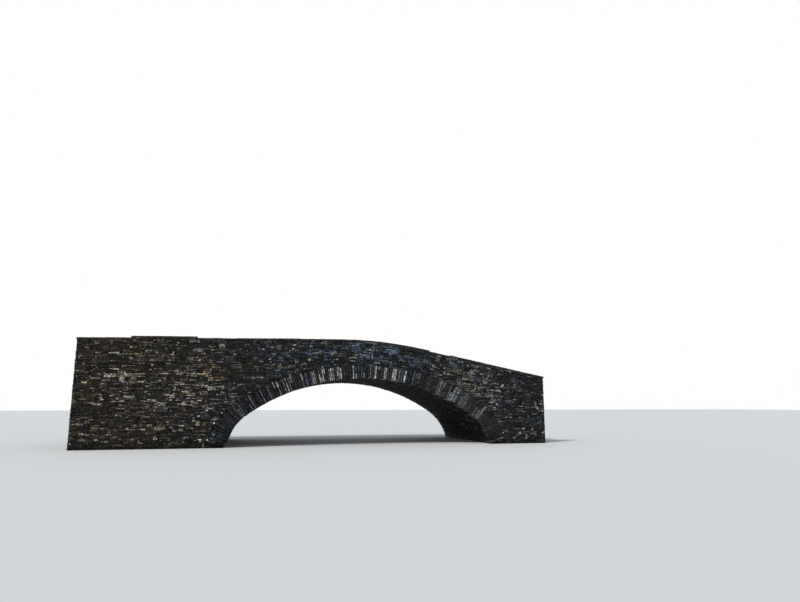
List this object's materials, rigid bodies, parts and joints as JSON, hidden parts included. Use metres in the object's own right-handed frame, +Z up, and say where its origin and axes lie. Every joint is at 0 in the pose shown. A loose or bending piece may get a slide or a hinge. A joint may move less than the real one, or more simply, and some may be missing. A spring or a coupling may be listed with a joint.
{
  "type": "stone arch bridge",
  "caption": "Single-span humped bridge of slate rubble: a flat three-centred arch of thin voussoirs, spandrel and wing walls, parapets with slab coping and a worn road.",
  "frame": {"origin": "middle of the bounding box in plan, at the water level on which the walls stand; the arch's crown is 1.6 m along +X", "axes": "+X along the road towards the ramp end, +Y across the road away from the pictured face, +Z up"},
  "size_m": [21.08, 7.08, 4.7933],
  "materials": {
    "slate_voussoirs": "matte",
    "wall_rubble": "matte",
    "parapet_rubble": "matte",
    "slate_coping": "matte",
    "vault_slates": "matte",
    "backing_masonry": "matte",
    "rubble_fill": "matte",
    "road_surface": "matte"
  },
  "bodies": {
    "root": {"near_ring_left_springer": "slate_voussoirs", "near_ring_left_haunch": "slate_voussoirs", "near_ring_crown": "slate_voussoirs", "near_ring_right_haunch": "slate_voussoirs", "near_ring_right_springer": "slate_voussoirs", "far_ring_left_springer": "slate_voussoirs", "far_ring_left_haunch": "slate_voussoirs", "far_ring_crown": "slate_voussoirs", "far_ring_right_haunch": "slate_voussoirs", "far_ring_right_springer": "slate_voussoirs", "barrel_left_springer": "vault_slates", "barrel_left_haunch": "vault_slates", "barrel_crown": "vault_slates", "barrel_right_haunch": "vault_slates", "barrel_right_springer": "vault_slates", "left_abutment": "backing_masonry", "right_abutment": "backing_masonry", "left_fill": "rubble_fill", "right_fill": "rubble_fill", "near_left_wing_wall": "wall_rubble", "near_left_spandrel": "wall_rubble", "near_right_spandrel": "wall_rubble", "near_right_wing_wall": "wall_rubble", "far_left_wing_wall": "wall_rubble", "far_left_spandrel": "wall_rubble", "far_right_spandrel": "wall_rubble", "far_right_wing_wall": "wall_rubble", "left_road": "road_surface", "crest_road": "road_surface", "ramp_road": "road_surface", "near_parapet_end": "parapet_rubble", "near_parapet_raised": "parapet_rubble", "near_parapet_centre": "parapet_rubble", "near_parapet_ramp": "parapet_rubble", "far_parapet_end": "parapet_rubble", "far_parapet_centre": "parapet_rubble", "far_parapet_ramp": "parapet_rubble", "near_coping_end": "slate_coping", "near_coping_raised": "slate_coping", "near_coping_centre": "slate_coping", "near_coping_ramp": "slate_coping", "far_coping_end": "slate_coping", "far_coping_centre": "slate_coping", "far_coping_ramp": "slate_coping"}
  },
  "joints": []
}
